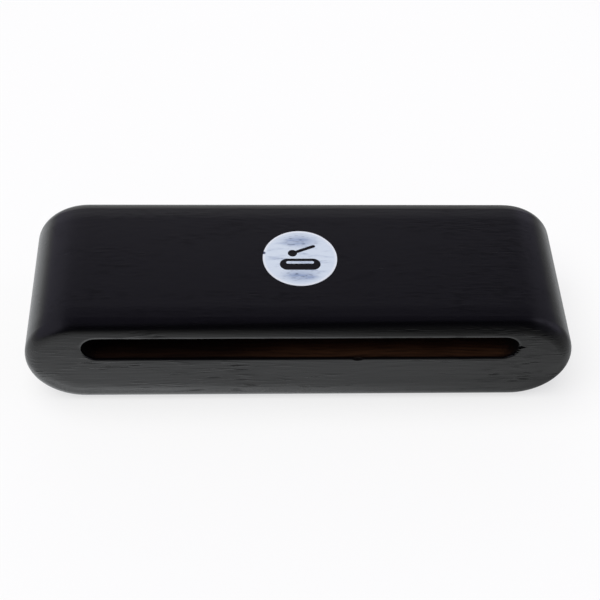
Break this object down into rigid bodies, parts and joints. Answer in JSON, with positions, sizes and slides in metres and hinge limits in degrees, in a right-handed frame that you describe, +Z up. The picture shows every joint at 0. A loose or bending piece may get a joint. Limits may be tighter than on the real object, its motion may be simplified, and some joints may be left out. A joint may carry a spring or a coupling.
{
  "type": "woodblock",
  "caption": "Slotted hardwood percussion block with full-round ends, a deep blind sound slot along its front and a round foil badge on top.",
  "frame": {"origin": "centre of the flat base, on the surface that the block rests on", "axes": "+X along the block to the right as seen from the slot, -Y out of the slot, +Z up through the badge"},
  "size_m": [0.2, 0.064, 0.0421],
  "materials": {
    "black_stained_hardwood": "open-pore satin lacquer over black stain, bare wood inside the slot",
    "silver_foil": "satin"
  },
  "bodies": {
    "root": {"block": "black_stained_hardwood", "badge": "silver_foil"}
  },
  "joints": []
}
